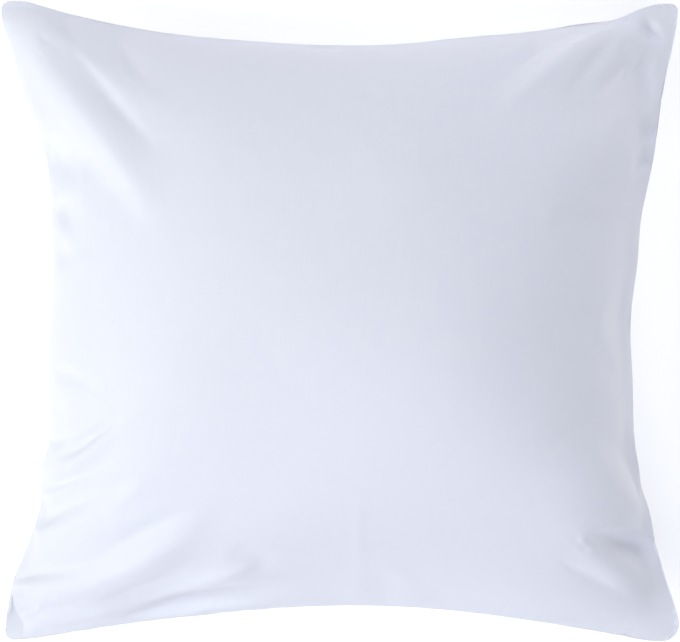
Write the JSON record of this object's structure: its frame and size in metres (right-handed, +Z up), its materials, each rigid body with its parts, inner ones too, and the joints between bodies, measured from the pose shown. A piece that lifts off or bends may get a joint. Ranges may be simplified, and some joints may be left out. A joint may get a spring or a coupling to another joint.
{
  "type": "square pillowcase on its filling",
  "caption": "Plain white square pillowcase drawn over its filling, with knife-edge seams, drawn-in sides and soft corner folds, lying on its back.",
  "frame": {"origin": "on the resting surface, under the middle of the outline", "axes": "+Z up out of the front panel, +X along the longer side, to the right when the front is looked at"},
  "size_m": [0.44, 0.4156, 0.148],
  "materials": {
    "white_cotton": "closely woven plain white cotton, matt with a faint sheen at a grazing angle"
  },
  "bodies": {
    "root": {"pillowcase": "white_cotton"}
  },
  "joints": []
}
